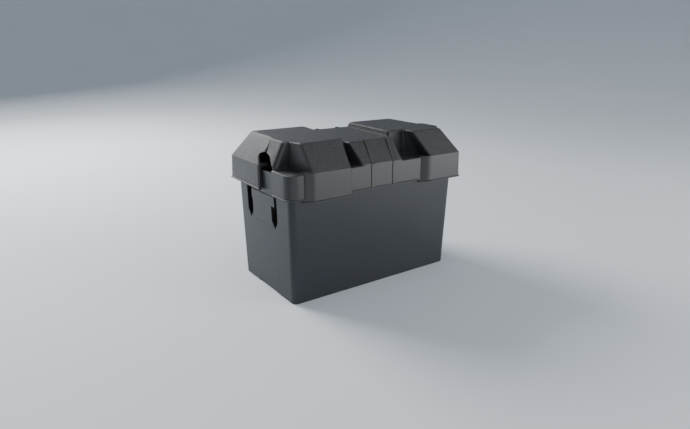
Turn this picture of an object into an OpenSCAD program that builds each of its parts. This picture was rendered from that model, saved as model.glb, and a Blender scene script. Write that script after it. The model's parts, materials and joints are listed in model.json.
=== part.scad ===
// Snap-top battery box with the deep cycle battery it holds.
// +Z is up, X runs along the box, the front is towards -Y. The origin is under the middle of the tub's base.

/* [Tub] */
// Length of the tub across its base
base_l = 355; // [350:1:358]
// Width of the tub across its base
base_w = 188.5; // [184:0.5:190]
// Height of the tub's rim
tub_h = 225; // [223:1:226]
// Wall thickness of the tub
tub_wall = 3; // [2.5:0.1:3.2]
// Thickness of the tub's floor
floor_t = 4; // [3.5:0.1:4]
// Radius of the tub's upright edges
tub_r = 10; // [8:1:14]

/* [Lid] */
// Height of the two raised blocks over the terminals
block_top = 275; // [273:1:280]
// Height of the lower middle section
middle_top = 267; // [265:1:270]
// Height of the shelf at the top of the lid's skirt
shelf_z = 228; // [228:0.5:229]
// Height of the lip below the raised blocks
block_lip = 182; // [181.5:0.5:184]
// Height of the lip below the middle section
middle_lip = 186; // [185:0.5:187]
// Wall thickness of the lid
lid_wall = 3; // [2.5:0.1:3]

/* [Snap latches] */
// Width of a latch tongue at its hinge
tongue_w = 72; // [66:1:74]
// Width of a latch tongue at its head, which is wider on one side only
head_w = 98; // [94:1:102]
// Height of the tongue's living hinge
hinge_z = 124; // [120:1:130]

/* [Battery] */
// Length of the battery over its cover
battery_l = 306; // [300:1:310]
// Width of the battery over its cover
battery_w = 173; // [168:1:174]
// Height of the battery's cover above the tub's floor
battery_h = 202; // [198:1:204]
// Diameter of a terminal stud
stud_d = 8; // [8:0.5:10]

/* [Hidden] */
$fn = 48;

plastic = "#26282c";
case_grey = "#3a3d42";
lead = "#8b8f94";

draft_l = 4.5 / 185;
draft_w = 3.5 / 185;
rim_l = base_l / 2 + draft_l * tub_h;
rim_w = base_w / 2 + draft_w * tub_h;
skirt_l = rim_l + 3.9;
skirt_w = rim_w + 3.8;
bulge = 8;
end_bulge = 2.3;
slot_w = 20;
latch_y = 6;
head_z = 163;
tongue_top = tub_h - 3;
end_lip = middle_lip + 1.5;
guide_x = [-19, 29];

cells = 6;
cell_wall = 2;
case_wall = 3;
case_l = battery_l - 4;
case_w = battery_w - 3;
cell_l = (case_l - 2 * case_wall - (cells - 1) * cell_wall) / cells;
pitch = cell_l + cell_wall;
case_top = floor_t + battery_h - 16;
cover_top = floor_t + battery_h;
plate_foot = floor_t + 10;
plate_top = case_top - 30;
strap_z = plate_top + 10;
strap_t = 8;
strap_y = 40;
positive_t = 4;
negative_t = 3;
separator_t = 2.5;
stack_t = 3 * positive_t + 4 * negative_t + 6 * separator_t;
post_r = 10;
post_top = cover_top + 8;

// ---- Outlines and lofts -------------------------------------------------------------------------

function unit(v) = v / norm(v);
function prev(p, i) = p[(i + len(p) - 1) % len(p)];
function next(p, i) = p[(i + 1) % len(p)];
function turned(p) = [for (q = p) -q];

// Moves every edge of an anticlockwise outline inwards by d.
function inset(p, d) = [for (i = [0 : len(p) - 1])
    let (u = unit(p[i] - prev(p, i)), v = unit(next(p, i) - p[i]), m = [-u.y, u.x], n = [-v.y, v.x])
    p[i] + d * (m + n) / (1 + m * n)];

// Rounds every corner of an outline with a short curve of k steps that starts r before the corner.
function rounded(p, r, k = 4) = [for (i = [0 : len(p) - 1])
    let (a = p[i] - prev(p, i), b = next(p, i) - p[i], d = min(r, 0.45 * norm(a), 0.45 * norm(b)))
    for (j = [0 : k]) let (t = j / k)
        (1 - t) * (1 - t) * (p[i] - unit(a) * d) + 2 * t * (1 - t) * p[i] + t * t * (p[i] + unit(b) * d)];

function box_outline(hx, hy) = [[-hx, -hy], [hx, -hy], [hx, hy], [-hx, hy]];

// Joins a stack of outlines, each given as [points, height], into one closed solid.
module loft(rings) {
    n = len(rings[0][0]);
    last = len(rings) - 1;
    polyhedron(
        points = [for (r = rings) for (q = r[0]) [q.x, q.y, r[1]]],
        faces = concat(
            [[for (i = [0 : n - 1]) i]],
            [for (k = [0 : last - 1]) for (i = [0 : n - 1]) let (a = k * n, b = a + n, j = (i + 1) % n)
                each [[a + i, b + i, b + j], [a + i, b + j, a + j]]],
            [[for (i = [n - 1 : -1 : 0]) last * n + i]]));
}

module half_turn() {
    children();
    rotate(180) children();
}

// ---- Tub ----------------------------------------------------------------------------------------

module tub_loft(inside, z0, z1) {
    r = 1.17 * (tub_r - inside);
    loft([for (z = [z0, z1])
        [rounded(box_outline(base_l / 2 + draft_l * z - inside, base_w / 2 + draft_w * z - inside), r, 6), z]]);
}

// Opening in an end wall for the latch tongue, with a pointed slot on each side of the tongue.
module latch_window() {
    s = tongue_w / 2;
    rotate([90, 0, 90])
        linear_extrude(20, center = true)
            polygon([[-s, hinge_z - 0.2], [s, hinge_z - 0.2], [s, hinge_z + 13], [s + slot_w / 2, hinge_z - 1],
                [s + slot_w, hinge_z + 13], [s + slot_w, tub_h + 10], [-s - slot_w, tub_h + 10],
                [-s - slot_w, hinge_z + 13], [-s - slot_w / 2, hinge_z - 1], [-s, hinge_z + 13]]);
}

module tub() {
    color(plastic)
        difference() {
            union() {
                tub_loft(0, 1, tub_h);
                linear_extrude(2)
                    base_plate(0.8);
            }
            tub_loft(tub_wall, floor_t, tub_h + 1);
            for (x = [-rim_l, rim_l])
                translate([x, latch_y, 0])
                    latch_window();
            half_turn()
                translate([-base_l / 2 - 4, -34, -1])
                    cube([6, 68, 5]);
        }
}

module base_plate(edge) {
    hx = base_l / 2 - edge;
    hy = base_w / 2 - edge;
    r = tub_r - edge;
    square([2 * hx, 2 * (hy - r)], center = true);
    square([2 * (hx - r), 2 * hy], center = true);
    for (x = [-1, 1])
        for (y = [-1, 1])
            translate([x * (hx - r), y * (hy - r)])
                circle(r);
}

// ---- Snap latches -------------------------------------------------------------------------------

// Side profile of a tongue: it follows the drafted wall and has a finger pad and a small barb.
module tongue_profile(z0, z1, out) {
    polygon([[base_l / 2 + draft_l * z0 - tub_wall, z0], [base_l / 2 + draft_l * z0 + out, z0],
        [base_l / 2 + draft_l * z1 + out, z1], [base_l / 2 + draft_l * z1 - tub_wall, z1]]);
}

module snap_latch() {
    translate([0, latch_y, 0])
        rotate([90, 0, 0]) {
            linear_extrude(tongue_w - 1, center = true)
                tongue_profile(hinge_z, tongue_top, 0);
            translate([0, 0, -tongue_w / 2 + 0.5]) {
                linear_extrude((tongue_w + head_w - 1) / 2)
                    tongue_profile(head_z, tongue_top, 0);
                linear_extrude((tongue_w + head_w - 1) / 2)
                    tongue_profile(head_z, 180, 1.2);
            }
            linear_extrude(tongue_w / 2, center = true)
                tongue_profile(206, 214, 0.8);
        }
}

module snap_latch_left() {
    color(plastic)
        mirror([1, 0, 0])
            snap_latch();
}

module snap_latch_right() {
    color(plastic)
        snap_latch();
}

// ---- Lid ----------------------------------------------------------------------------------------

// Left block, at its shoulder and at its top, anticlockwise from the front left corner.
left_low = [[-147, -skirt_w - bulge], [-70, -skirt_w - bulge], [-58, -78], [-38, skirt_w],
    [-105, skirt_w], [-112, skirt_w + bulge], [-skirt_l - end_bulge, skirt_w + bulge],
    [-skirt_l - end_bulge, -4], [-157, -4], [-157, -54]];
left_high = [[-151, -83.5], [-86, -83.5], [-64, -72], [-46, 83.5],
    [-92, 83.5], [-98, 83.6], [-160, 83.5],
    [-162, -4], [-158, -4], [-158, -56]];
// Hood over the left cable opening.
left_hood_low = [[-skirt_l + 1, -52], [-140, -52], [-140, -4], [-skirt_l + 1, -4]];
left_hood_high = [[-168, -56], [-140, -56], [-140, -4], [-168, -4]];

// Right block, the same way, without the hood over its cable opening and the end wall behind that.
right_low = [[109, -skirt_w - bulge], [skirt_l + end_bulge, -skirt_w - bulge], [skirt_l + end_bulge, -58],
    [150, -58], [147, skirt_w + bulge], [56, skirt_w + bulge], [46, -55], [92, -55], [110, -76]];
right_high = [[88, -83.5], [160, -83.5], [162, -58],
    [150, -58], [148, 83.5], [62, 83.5], [51, -57], [90, -57], [89, -70]];
right_hood_low = [[140, -58], [skirt_l - 1, -58], [skirt_l - 1, -8], [140, -8]];
right_hood_high = [[140, -58], [177, -58], [180, -8], [140, -8]];
right_end_low = [[140, -10], [skirt_l - 1, -10], [skirt_l - 1, skirt_w - 1], [140, skirt_w - 1]];
right_end_high = [[140, -10], [168, -10], [170, 83.5], [140, 83.5]];

// Middle section between the blocks.
middle_low = [[-42, -skirt_w], [50, -skirt_w], [52, -60], [100, -40], [100, skirt_w], [-90, skirt_w],
    [-90, -50], [-48, -64]];
middle_high = [[-54, -79.5], [42, -79.5], [46, -58], [100, -40], [100, 79.5], [-90, 79.5],
    [-90, -50], [-52, -66]];

// Parts of the skirt that stand proud below a block: two short ones, and two that turn a corner.
short_skirt = [[-160, -90], [-160, -skirt_w - 0.5], [-147, -skirt_w - bulge], [-70, -skirt_w - bulge],
    [-68, -skirt_w], [-68, -90]];
right_skirt = [[92, -90], [92, -skirt_w - 0.5], [109, -skirt_w - bulge],
    [skirt_l + end_bulge, -skirt_w - bulge], [skirt_l + end_bulge, -52], [skirt_l - 14, -52],
    [skirt_l - 14, -90]];
left_skirt = turned([[92, -90], [92, -skirt_w - 0.5], [109, -skirt_w - bulge],
    [skirt_l + end_bulge, -skirt_w - bulge], [skirt_l + end_bulge, 4], [skirt_l - 14, 4],
    [skirt_l - 14, -90]]);

// A block, or with w the hollow inside it.
module block(low, high, top, w = 0, r = 6) {
    if (w == 0)
        loft([[rounded(low, r), shelf_z - 2], [rounded(low, r), shelf_z + 2],
            [rounded(inset(low, 0.9), r), shelf_z + 3.4],
            [rounded(inset(high, -0.8), r), top - 2], [rounded(inset(high, 0.8), r), top - 0.6],
            [rounded(inset(high, 2.4), r), top]]);
    else
        loft([[rounded(inset(low, w), r - 1), shelf_z - 5], [rounded(inset(low, w), r - 1), shelf_z + 1],
            [rounded(inset(high, w), r - 1), top - w]]);
}

module skirt(outline, lip, w = 0, r = 6) {
    if (w == 0) {
        loft([[rounded(inset(outline, -1.2), r), lip], [rounded(outline, r), shelf_z + 2]]);
        loft([[rounded(inset(outline, -2.7), r), lip], [rounded(inset(outline, -2.7), r), lip + 1.6],
            [rounded(inset(outline, -1.1), r), lip + 2.4]]);
    } else {
        loft([[rounded(inset(outline, w - 1.2), r - 1), lip - 1], [rounded(inset(outline, w), r - 1), shelf_z - 1]]);
    }
}

module lid_outside() {
    base = box_outline(skirt_l, skirt_w);
    loft([[rounded(inset(base, -1.2), 20, 6), middle_lip], [rounded(base, 20, 6), shelf_z - 1.2],
        [rounded(inset(base, 1.2), 20, 6), shelf_z]]);
    loft([[rounded(inset(base, -2.7), 20, 6), middle_lip], [rounded(inset(base, -2.7), 20, 6), middle_lip + 1.6],
        [rounded(inset(base, -1.1), 20, 6), middle_lip + 2.4]]);
    half_turn()
        skirt(short_skirt, block_lip);
    skirt(right_skirt, block_lip);
    skirt(left_skirt, end_lip);
    block(left_low, left_high, block_top);
    block(left_hood_low, left_hood_high, block_top, 0, 14);
    block(right_low, right_high, block_top);
    block(right_hood_low, right_hood_high, block_top);
    block(right_end_low, right_end_high, block_top);
    block(middle_low, middle_high, middle_top);
    for (x = guide_x)
        translate([x, 0, 0])
            strap_guide();
}

module lid_inside() {
    base = box_outline(skirt_l, skirt_w);
    loft([[rounded(inset(base, lid_wall - 1.2), 14, 6), block_lip - 2],
        [rounded(inset(base, lid_wall), 14, 6), shelf_z - 3]]);
    half_turn()
        skirt(short_skirt, block_lip, lid_wall);
    skirt(right_skirt, block_lip, lid_wall);
    skirt(left_skirt, end_lip, lid_wall);
    block(left_low, left_high, block_top, lid_wall);
    block(left_hood_low, left_hood_high, block_top, lid_wall, 14);
    block(right_low, right_high, block_top, lid_wall);
    block(right_hood_low, right_hood_high, block_top, lid_wall);
    block(right_end_low, right_end_high, block_top, lid_wall);
    block(middle_low, middle_high, middle_top, lid_wall);
    for (side = [-1, 1])
        translate([side * 160 - 10, -12, shelf_z - 1])
            cube([20, 16, 22]);
}

// Rib that keeps the hold-down strap in place, up the skirt and over the shoulder.
module strap_guide() {
    for (s = [-1, 1])
        scale([1, s, 1])
            rotate([90, 0, 90])
                linear_extrude(6.5, center = true)
                    polygon([[skirt_w - 1, middle_lip + 2], [skirt_w + 2.2, middle_lip + 2],
                        [skirt_w + 1.1, shelf_z + 0.6], [80.6, middle_top + 1],
                        [75, middle_top + 1], [75, middle_top - 1], [79, middle_top - 1], [skirt_w - 2, shelf_z - 1]]);
}

// Cable opening in each end of the lid: an arch that leans back over the shoulder.
module cable_notches() {
    for (x = [-skirt_l - 10, skirt_l - 50])
        translate([x, 0, 0])
            rotate([90, 0, 90])
                linear_extrude(60)
                    polygon([[-46, block_lip - 5], [-4, block_lip - 5], [-4, 230], [9, 240], [11.5, 243],
                        [10.5, 247], [5, 249.7], [-8, 251.4], [-18, 250.8], [-27, 246.9], [-38, 236.8], [-46, 229.5]]);
}

// The lid is one closed skin, joined in a single pass at its own size.
module lid() {
    color(plastic)
        resize([0, 0, 0])
            difference() {
                lid_outside();
                lid_inside();
                cable_notches();
            }
}

// ---- Battery ------------------------------------------------------------------------------------

function cell_x(i) = (i - (cells - 1) / 2) * pitch;
function side(i) = i % 2 == 0 ? 1 : -1;

module battery_case() {
    color(case_grey)
        difference() {
            translate([-case_l / 2, -case_w / 2, floor_t])
                cube([case_l, case_w, case_top - floor_t]);
            for (i = [0 : cells - 1])
                translate([cell_x(i) - cell_l / 2, -case_w / 2 + case_wall, floor_t + 3])
                    cube([cell_l, case_w - 2 * case_wall, case_top]);
            for (i = [0 : cells - 2])
                translate([cell_x(i), -side(i) * strap_y - 6, strap_z])
                    cube([pitch, 12, strap_t]);
        }
    color(case_grey)
        for (i = [0 : cells - 1])
            for (y = [-50, 50])
                translate([cell_x(i) - cell_l / 2, y - 4, floor_t + 3])
                    cube([cell_l, 8, plate_foot - floor_t - 3]);
}

module battery_cover() {
    color(case_grey)
        difference() {
            union() {
                difference() {
                    translate([-battery_l / 2, -battery_w / 2, case_top])
                        cube([battery_l, battery_w, cover_top - case_top]);
                    translate([-battery_l / 2 + 5, -battery_w / 2 + 5, case_top - 1])
                        cube([battery_l - 10, battery_w - 10, cover_top - case_top - 5]);
                }
                for (i = [0 : cells - 1])
                    translate([cell_x(i), 0, case_top])
                        cylinder(r = 13, h = cover_top - case_top + 2);
                for (i = [0, cells - 1])
                    translate([cell_x(i), strap_y, case_top])
                        cylinder(r = 15, h = cover_top - case_top + 3);
            }
            for (i = [0 : cells - 1])
                translate([cell_x(i), 0, case_top - 1])
                    cylinder(r = 9.5, h = 40);
            for (i = [0, cells - 1])
                translate([cell_x(i), strap_y, case_top - 1])
                    cylinder(r = post_r + 0.05, h = 40);
        }
}

module vent_seals() {
    color("#1c1c1c")
        for (i = [0 : cells - 1])
            translate([cell_x(i), 0, cover_top + 2])
                difference() {
                    cylinder(r = 12.2, h = 1);
                    translate([0, 0, -1])
                        cylinder(r = 9.7, h = 3);
                }
}

module vent_cap(i) {
    color("#c7402f")
        translate([cell_x(i), 0, cover_top])
            difference() {
                union() {
                    translate([0, 0, -10])
                        cylinder(r = 9.2, h = 14);
                    translate([0, 0, 3.1])
                        cylinder(r = 12.5, h = 4);
                    translate([-9, -2, 7])
                        cube([18, 4, 4]);
                }
                translate([0, 0, -11])
                    cylinder(r = 7, h = 13);
            }
}

module vent_cap_1() { vent_cap(0); }
module vent_cap_2() { vent_cap(1); }
module vent_cap_3() { vent_cap(2); }
module vent_cap_4() { vent_cap(3); }
module vent_cap_5() { vent_cap(4); }
module vent_cap_6() { vent_cap(5); }

module at_positive() {
    translate([cell_x(0), strap_y, 0])
        children();
}

module at_negative() {
    translate([cell_x(cells - 1), strap_y, 0])
        children();
}

module post() {
    color(lead)
        difference() {
            translate([0, 0, strap_z + strap_t])
                cylinder(r = post_r, h = post_top - strap_z - strap_t);
            translate([0, 0, post_top - 14])
                cylinder(d = stud_d, h = 15);
        }
}

module stud() {
    color("#c9ccd0")
        translate([0, 0, post_top - 14])
            cylinder(d = stud_d, h = 32);
}

module washer() {
    color("#c9ccd0")
        translate([0, 0, post_top])
            difference() {
                cylinder(r = 9, h = 1.6);
                translate([0, 0, -1])
                    cylinder(d = stud_d + 0.4, h = 4);
            }
}

module wing_nut() {
    color("#c9ccd0")
        translate([0, 0, post_top + 1.7])
            difference() {
                union() {
                    cylinder(r1 = 8, r2 = 6.5, h = 7);
                    for (s = [-1, 1])
                        rotate([90, 0, s == 1 ? 0 : 180])
                            linear_extrude(2.4, center = true)
                                polygon([[4.5, 1], [7, 0.8], [15, 6], [17, 12], [14.5, 14], [10.5, 11], [6, 6], [4.5, 6]]);
                }
                translate([0, 0, -1])
                    cylinder(d = stud_d + 0.1, h = 20);
            }
}

module positive_post() { at_positive() post(); }
module negative_post() { at_negative() post(); }
module positive_stud() { at_positive() stud(); }
module negative_stud() { at_negative() stud(); }
module positive_washer() { at_positive() washer(); }
module negative_washer() { at_negative() washer(); }
module positive_wing_nut() { at_positive() wing_nut(); }
module negative_wing_nut() { at_negative() wing_nut(); }

// One plate of cell i, from x = from across its thickness, with a lug towards side s.
module plate(i, from, thickness, s) {
    x = cell_x(i) - stack_t / 2 + from;
    translate([x, -78, plate_foot])
        cube([thickness, 156, plate_top - plate_foot]);
    translate([x, s * strap_y - 9, plate_top - 1])
        cube([thickness, 18, strap_z - plate_top + 1]);
}

plate_step = positive_t + negative_t + 2 * separator_t;

module positive_plates() {
    color("#5b4636")
        for (i = [0 : cells - 1])
            for (k = [0 : 2])
                plate(i, negative_t + separator_t + k * plate_step, positive_t, side(i));
}

module negative_plates() {
    color("#7d8186")
        for (i = [0 : cells - 1])
            for (k = [0 : 3])
                plate(i, k * plate_step, negative_t, -side(i));
}

module separators() {
    color("#d8d4c4")
        for (i = [0 : cells - 1])
            for (k = [0 : 2])
                for (from = [negative_t, negative_t + separator_t + positive_t])
                    translate([cell_x(i) - stack_t / 2 + from + k * plate_step, -80, plate_foot])
                        cube([separator_t, 160, plate_top - plate_foot + 3]);
}

module strap(i, s) {
    translate([cell_x(i) - stack_t / 2, s * strap_y - 10, strap_z])
        cube([stack_t, 20, strap_t]);
}

module positive_straps() {
    color(lead)
        for (i = [0 : cells - 1])
            strap(i, side(i));
}

module negative_straps() {
    color(lead)
        for (i = [0 : cells - 1])
            strap(i, -side(i));
}

module intercell_connectors() {
    color(lead)
        for (i = [0 : cells - 2])
            translate([cell_x(i) + stack_t / 2, -side(i) * strap_y - 6, strap_z])
                cube([pitch - stack_t, 12, strap_t]);
}

tub();
lid();
snap_latch_left();
snap_latch_right();
battery_case();
battery_cover();
vent_seals();
vent_cap_1();
vent_cap_2();
vent_cap_3();
vent_cap_4();
vent_cap_5();
vent_cap_6();
positive_post();
negative_post();
positive_stud();
negative_stud();
positive_washer();
negative_washer();
positive_wing_nut();
negative_wing_nut();
positive_plates();
negative_plates();
separators();
positive_straps();
negative_straps();
intercell_connectors();
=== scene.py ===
"""A snap-top battery box, with the battery it holds, on a pale studio floor."""
import json
import math

import bmesh
import bpy
from mathutils import Matrix, Vector


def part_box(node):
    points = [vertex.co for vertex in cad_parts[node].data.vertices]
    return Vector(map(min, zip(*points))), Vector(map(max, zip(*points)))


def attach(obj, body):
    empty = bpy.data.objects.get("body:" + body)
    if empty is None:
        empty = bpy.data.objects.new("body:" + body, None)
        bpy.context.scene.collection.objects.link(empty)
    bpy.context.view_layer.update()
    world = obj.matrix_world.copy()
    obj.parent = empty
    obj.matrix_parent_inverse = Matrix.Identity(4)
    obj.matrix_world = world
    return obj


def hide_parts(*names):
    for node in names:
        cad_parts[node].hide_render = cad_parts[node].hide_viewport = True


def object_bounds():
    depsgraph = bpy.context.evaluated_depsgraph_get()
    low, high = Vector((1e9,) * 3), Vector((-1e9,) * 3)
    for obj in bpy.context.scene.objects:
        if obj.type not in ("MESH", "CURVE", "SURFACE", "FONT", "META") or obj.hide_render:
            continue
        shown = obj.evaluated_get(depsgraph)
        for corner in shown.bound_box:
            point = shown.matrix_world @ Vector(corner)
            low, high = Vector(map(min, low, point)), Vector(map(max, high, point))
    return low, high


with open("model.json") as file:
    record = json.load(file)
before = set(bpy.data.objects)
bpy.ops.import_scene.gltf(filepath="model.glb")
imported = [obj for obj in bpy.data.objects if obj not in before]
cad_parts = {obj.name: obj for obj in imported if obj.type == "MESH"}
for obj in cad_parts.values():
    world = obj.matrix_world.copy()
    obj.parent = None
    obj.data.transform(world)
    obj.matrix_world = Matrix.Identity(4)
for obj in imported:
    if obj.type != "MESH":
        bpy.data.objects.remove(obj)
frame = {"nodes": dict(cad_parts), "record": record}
cad_low, cad_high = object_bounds()
bodies = frame["record"]["behaviour"]["bodies"]

# Sockets of the colour Mix node, which share their names with its other data types.
MIX_FACTOR, MIX_A, MIX_B, MIX_RESULT = 0, 6, 7, 2
PLASTIC_IOR = 1.49

# The leather grain starts where the surface leans this much, and is full beyond the second value.
GRAIN_STARTS, GRAIN_FULL = 0.25, 0.45

# How the copies of CAD nodes are cleaned, softened and shaded. Lengths are in metres.
WELD = 0.00002
FLAT_WITHIN = math.radians(0.8)
BEVEL_OVER = math.radians(22)
SHADE_SHARP_OVER = math.radians(32)
BEVEL_STEPS = 2
NORMAL_WEIGHT = 80
CLEAR_OF_HINGE = 0.001

# Width of the moulded radius on each softened node, in metres.
SOFTENED = {"lid": 0.0006, "tub": 0.0009, "snap_latch_left": 0.0006, "snap_latch_right": 0.0006,
            "battery_cover": 0.0012, "battery_case": 0.0008}
SOFTENED |= {"vent_cap_%d" % i: 0.0006 for i in range(1, 7)}
for pole in ("positive", "negative"):
    SOFTENED |= {pole + "_post": 0.0008, pole + "_stud": 0.0006,
                 pole + "_washer": 0.0003, pole + "_wing_nut": 0.0005}

# Floor and backdrop: metres.
FLOOR_COLOUR = (0.74, 0.78, 0.82)
FLOOR_LIGHTER = 1.04
FLOOR_REACH = 2.0
SWEEP = 5.0
SWEEP_STEPS = 12
BACKDROP_TOP = 7.0
STAGE_SIDES = 72

# Softboxes, all aimed at the middle of the box: name, place, (width, height), power in watts.
SOFTBOXES = [
    ("key_back_left", (-0.70, 2.0, 1.50), (1.3, 0.9), 85),
    ("low_front", (1.7, -1.9, 0.50), (1.8, 0.8), 46),
    ("strip_front_left", (-1.3, -2.2, 0.7), (0.35, 1.5), 9),
    ("top", (-0.3, -0.6, 2.6), (1.6, 1.6), 9),
]
SKY_COLOUR = (0.72, 0.82, 0.95, 1)
SKY_STRENGTH = 0.30

CAMERA_AT = (-0.5786, -0.8066, 0.4203)
CAMERA_YAW = math.radians(54.6)
CAMERA_PITCH = math.radians(17.5)
CAMERA_ROLL = math.radians(0.3)
FOCAL_IN_WIDTHS = 528 / 690
SENSOR_WIDTH = 36.0
CLIP_NEAR, CLIP_FAR = 0.02, 60

# ---- Finishes ------------------------------------------------------------------------------------


class Shader:
    """A Principled material and the few node chains that the finishes share."""

    def __init__(self, name, **surface):
        self.material = bpy.data.materials.new(name)
        self.material.use_nodes = True
        self.nodes = self.material.node_tree.nodes
        self.links = self.material.node_tree.links
        self.surface = self.nodes["Principled BSDF"]
        for socket, value in surface.items():
            self.surface.inputs[socket].default_value = value
        self.place = self.nodes.new("ShaderNodeTexCoord")

    def link(self, output, node, socket):
        self.links.new(output, node.inputs[socket])

    def noise(self, scale, detail=4.0, rough=0.55):
        node = self.nodes.new("ShaderNodeTexNoise")
        node.inputs["Scale"].default_value = scale
        node.inputs["Detail"].default_value = detail
        node.inputs["Roughness"].default_value = rough
        self.link(self.place.outputs["Object"], node, "Vector")
        return node.outputs["Fac"]

    def cells(self, scale, feature):
        node = self.nodes.new("ShaderNodeTexVoronoi")
        node.feature = feature
        node.inputs["Scale"].default_value = scale
        self.link(self.place.outputs["Object"], node, "Vector")
        return node.outputs["Distance"]

    def remap(self, value, low, high, to_low, to_high):
        node = self.nodes.new("ShaderNodeMapRange")
        limits = {"From Min": low, "From Max": high, "To Min": to_low, "To Max": to_high}
        for socket, number in limits.items():
            node.inputs[socket].default_value = number
        self.link(value, node, "Value")
        return node.outputs["Result"]

    def math(self, operation, *values):
        node = self.nodes.new("ShaderNodeMath")
        node.operation = operation
        for i, value in enumerate(values):
            if isinstance(value, (int, float)):
                node.inputs[i].default_value = value
            else:
                self.link(value, node, i)
        return node.outputs["Value"]

    def add(self, a, b):
        return self.math("ADD", a, b)

    def times(self, a, b):
        return self.math("MULTIPLY", a, b)

    def mix(self, factor, dark, light):
        node = self.nodes.new("ShaderNodeMix")
        node.data_type = "RGBA"
        self.link(factor, node, MIX_FACTOR)
        node.inputs[MIX_A].default_value = (*dark, 1)
        node.inputs[MIX_B].default_value = (*light, 1)
        return node.outputs[MIX_RESULT]

    def bump(self, height, distance):
        node = self.nodes.new("ShaderNodeBump")
        node.inputs["Distance"].default_value = distance
        node.inputs["Strength"].default_value = 1.0
        self.link(height, node, "Height")
        return node.outputs["Normal"]

    def slope(self):
        """How far the surface leans: 0 on an upright wall, 1 on a level top."""
        geometry = self.nodes.new("ShaderNodeNewGeometry")
        split = self.nodes.new("ShaderNodeSeparateXYZ")
        self.link(geometry.outputs["True Normal"], split, "Vector")
        return self.math("ABSOLUTE", split.outputs["Z"])

    def paint(self, colour, roughness=None, normal=None):
        for socket, value in (("Base Color", colour), ("Roughness", roughness), ("Normal", normal)):
            if value is not None:
                self.link(value, self.surface, socket)
        return self.material


def moulded_plastic(name, dark, light, rough, grain=0.00004):
    """Satin moulded plastic: faint flow marks, fine pores and scuffs in the gloss."""
    s = Shader(name, IOR=PLASTIC_IOR)
    flow = s.noise(14, 3)
    pores = s.noise(900, 3, 0.6)
    scuffs = s.remap(s.noise(120, 6, 0.7), 0.35, 0.8, rough - 0.03, rough + 0.06)
    return s.paint(s.mix(flow, dark, light), scuffs, s.bump(pores, grain))


def grained_plastic(name, dark, light, rough):
    """Lid plastic: a leather grain on the slopes and tops, a finer one on the upright skirts."""
    s = Shader(name, IOR=PLASTIC_IOR)
    lean = s.remap(s.slope(), GRAIN_STARTS, GRAIN_FULL, 0.0, 1.0)
    pebbles = s.remap(s.cells(400, "DISTANCE_TO_EDGE"), 0.02, 0.22, 0.0, 1.0)
    fine = s.noise(1100, 3, 0.6)
    leather = s.add(pebbles, s.times(s.noise(520, 4, 0.6), 0.8))
    height = s.add(s.times(leather, s.times(lean, 0.9)), s.times(fine, 0.25))
    tone = s.add(s.times(s.remap(leather, 0.2, 1.5, -0.5, 0.5), lean), 0.5)
    gloss = s.remap(s.noise(90, 6, 0.65), 0.35, 0.7, rough - 0.05, rough + 0.07)
    roughness = s.add(gloss, s.times(lean, 0.06))
    return s.paint(s.mix(tone, dark, light), roughness, s.bump(height, 0.00042))


def cast_lead(name, dark, light):
    """Dull cast lead: blotches in its colour and gloss, and a fine rough skin."""
    s = Shader(name, Metallic=1.0)
    blotches = s.noise(160, 6, 0.65)
    roughness = s.remap(blotches, 0.3, 0.7, 0.5, 0.75)
    return s.paint(s.mix(blotches, dark, light), roughness, s.bump(s.noise(900, 4), 0.0001))


def turned_steel(name):
    """Bright steel with fine machining marks."""
    s = Shader(name, Metallic=1.0)
    marks = s.noise(700, 5, 0.7)
    colour = s.mix(marks, (0.42, 0.43, 0.45), (0.62, 0.63, 0.65))
    return s.paint(colour, s.remap(marks, 0.3, 0.7, 0.22, 0.4), s.bump(marks, 0.00002))


def porous(name, dark, light):
    """Pasted plates and separators: matt, with open pores."""
    s = Shader(name, Roughness=0.9)
    colour = s.mix(s.noise(500, 6, 0.7), dark, light)
    return s.paint(colour, None, s.bump(s.cells(1500, "F1"), 0.0002))


# The finish of each material slot: its maker, the slot, then what the maker is told.
FINISHES = [
    (moulded_plastic, "box_plastic", (0.012, 0.014, 0.018), (0.020, 0.023, 0.029), 0.40),
    (grained_plastic, "lid_plastic", (0.004, 0.004, 0.005), (0.056, 0.055, 0.056), 0.40),
    (moulded_plastic, "case_plastic", (0.055, 0.058, 0.063), (0.085, 0.088, 0.094), 0.40),
    (moulded_plastic, "cover_plastic", (0.035, 0.036, 0.04), (0.055, 0.057, 0.06), 0.4),
    (moulded_plastic, "cap_plastic", (0.38, 0.03, 0.02), (0.5, 0.05, 0.03), 0.28),
    (moulded_plastic, "seal_rubber", (0.015, 0.015, 0.015), (0.03, 0.03, 0.03), 0.7, 0.00008),
    (cast_lead, "post_lead", (0.24, 0.25, 0.26), (0.42, 0.43, 0.44)),
    (cast_lead, "strap_lead", (0.20, 0.21, 0.22), (0.36, 0.37, 0.38)),
    (turned_steel, "stud_steel"),
    (turned_steel, "nut_steel"),
    (porous, "positive_plate_lead", (0.07, 0.035, 0.022), (0.14, 0.08, 0.05)),
    (porous, "negative_plate_lead", (0.16, 0.17, 0.18), (0.28, 0.29, 0.30)),
    (porous, "separator_plastic", (0.5, 0.48, 0.42), (0.68, 0.66, 0.58)),
]

# ---- Pieces --------------------------------------------------------------------------------------


def add_object(name, data):
    thing = bpy.data.objects.new(name, data)
    bpy.context.scene.collection.objects.link(thing)
    return thing


def smooth_mesh(name, shape):
    """Turns a finished bmesh into a smooth-shaded mesh and frees it."""
    mesh = bpy.data.meshes.new(name)
    shape.to_mesh(mesh)
    shape.free()
    for face in mesh.polygons:
        face.use_smooth = True
    return mesh


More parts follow.
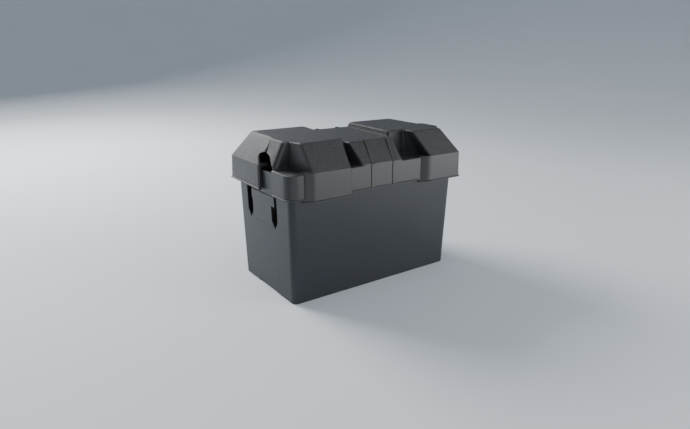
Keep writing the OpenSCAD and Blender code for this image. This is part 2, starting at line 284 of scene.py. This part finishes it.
def softened(node, body, width, above):
    """A copy of a CAD node that stands for it.

    Sharp edges that lie wholly higher than above get a moulded radius of this width.
    """
    shape = bmesh.new()
    shape.from_mesh(frame["nodes"][node].data)
    bmesh.ops.remove_doubles(shape, verts=shape.verts, dist=WELD)
    bmesh.ops.dissolve_limit(shape, angle_limit=FLAT_WITHIN, verts=shape.verts, edges=shape.edges)
    sharp = [e for e in shape.edges if e.is_manifold and e.calc_face_angle(0) > BEVEL_OVER
             and min(v.co.z for v in e.verts) > above]
    bmesh.ops.bevel(shape, geom=sharp, offset=width, offset_type="OFFSET", segments=BEVEL_STEPS,
                    profile=0.5, affect="EDGES", clamp_overlap=True, miter_outer="ARC")
    mesh = smooth_mesh(node + "_moulded", shape)
    mesh.set_sharp_from_angle(angle=SHADE_SHARP_OVER)
    piece = add_object(node + "_moulded", mesh)
    even = piece.modifiers.new("even_shading", "WEIGHTED_NORMAL")
    even.mode = "FACE_AREA"
    even.weight = NORMAL_WEIGHT
    even.keep_sharp = True
    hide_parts(node)
    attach(piece, body)
    return piece


def dress_nodes():
    """Softens the nodes that show, and gives every node the finish of its slot."""
    finishes = {slot: maker(slot, *look) for maker, slot, *look in FINISHES}
    body_of = {node: body for body, members in bodies.items() for node in members}
    for part in frame["record"]["subparts"]:
        node, slot = part["node"], part["material_slot"]
        piece = frame["nodes"][node]
        if node in SOFTENED:
            # A tongue keeps its foot sharp, so that it runs on into the wall below it.
            is_latch = node.startswith("snap_latch")
            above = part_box(node)[0].z + CLEAR_OF_HINGE if is_latch else -math.inf
            piece = softened(node, body_of[node], SOFTENED[node], above)
        piece.data.materials.clear()
        piece.data.materials.append(finishes[slot])


# ---- Stage, lights and camera --------------------------------------------------------------------


def make_stage():
    """A pale floor that sweeps up into a round backdrop far outside the lights."""
    profile = [(FLOOR_REACH * k / 4, 0.0) for k in range(1, 5)]
    for k in range(1, SWEEP_STEPS + 1):
        a = math.pi / 2 * k / SWEEP_STEPS
        profile.append((FLOOR_REACH + SWEEP * math.sin(a), SWEEP * (1 - math.cos(a))))
    profile.append((FLOOR_REACH + SWEEP, BACKDROP_TOP))
    turns = [2 * math.pi * k / STAGE_SIDES for k in range(STAGE_SIDES)]
    shape = bmesh.new()
    middle = shape.verts.new((0, 0, 0))
    rings = [[shape.verts.new((r * math.cos(a), r * math.sin(a), z)) for a in turns]
             for r, z in profile]
    for k in range(STAGE_SIDES):
        n = (k + 1) % STAGE_SIDES
        shape.faces.new((middle, rings[0][k], rings[0][n]))
        for inner, outer in zip(rings, rings[1:]):
            shape.faces.new((inner[k], outer[k], outer[n], inner[n]))
    floor = add_object("floor", smooth_mesh("floor", shape))
    s = Shader("floor_paint", Roughness=0.8)
    tint = s.noise(3, 2)
    lighter = tuple(c * FLOOR_LIGHTER for c in FLOOR_COLOUR)
    floor.data.materials.append(s.paint(s.mix(tint, FLOOR_COLOUR, lighter)))


def make_lights():
    middle = (cad_low + cad_high) / 2
    for name, place, size, power in SOFTBOXES:
        data = bpy.data.lights.new(name, "AREA")
        data.shape = "RECTANGLE"
        data.size, data.size_y = size
        data.energy = power
        lamp = add_object(name, data)
        lamp.location = place
        lamp.rotation_euler = (middle - Vector(place)).to_track_quat("-Z", "Y").to_euler()
    world = bpy.data.worlds.new("studio")
    world.use_nodes = True
    sky = world.node_tree.nodes["Background"].inputs
    sky["Color"].default_value = SKY_COLOUR
    sky["Strength"].default_value = SKY_STRENGTH
    bpy.context.scene.world = world


def make_camera():
    """The photo's camera: its place, yaw, pitch and slight roll."""
    data = bpy.data.cameras.new("camera")
    data.sensor_width = SENSOR_WIDTH
    data.lens = SENSOR_WIDTH * FOCAL_IN_WIDTHS
    data.clip_start, data.clip_end = CLIP_NEAR, CLIP_FAR
    camera = add_object("camera", data)
    ahead = Vector((math.cos(CAMERA_YAW) * math.cos(CAMERA_PITCH),
                    math.sin(CAMERA_YAW) * math.cos(CAMERA_PITCH), -math.sin(CAMERA_PITCH)))
    level = ahead.cross(Vector((0, 0, 1))).normalized()
    right = Matrix.Rotation(-CAMERA_ROLL, 3, ahead) @ level
    up = right.cross(ahead)
    camera.matrix_world = Matrix((right, up, -ahead)).transposed().to_4x4()
    camera.location = CAMERA_AT
    bpy.context.scene.camera = camera


dress_nodes()
make_stage()
make_lights()
make_camera()
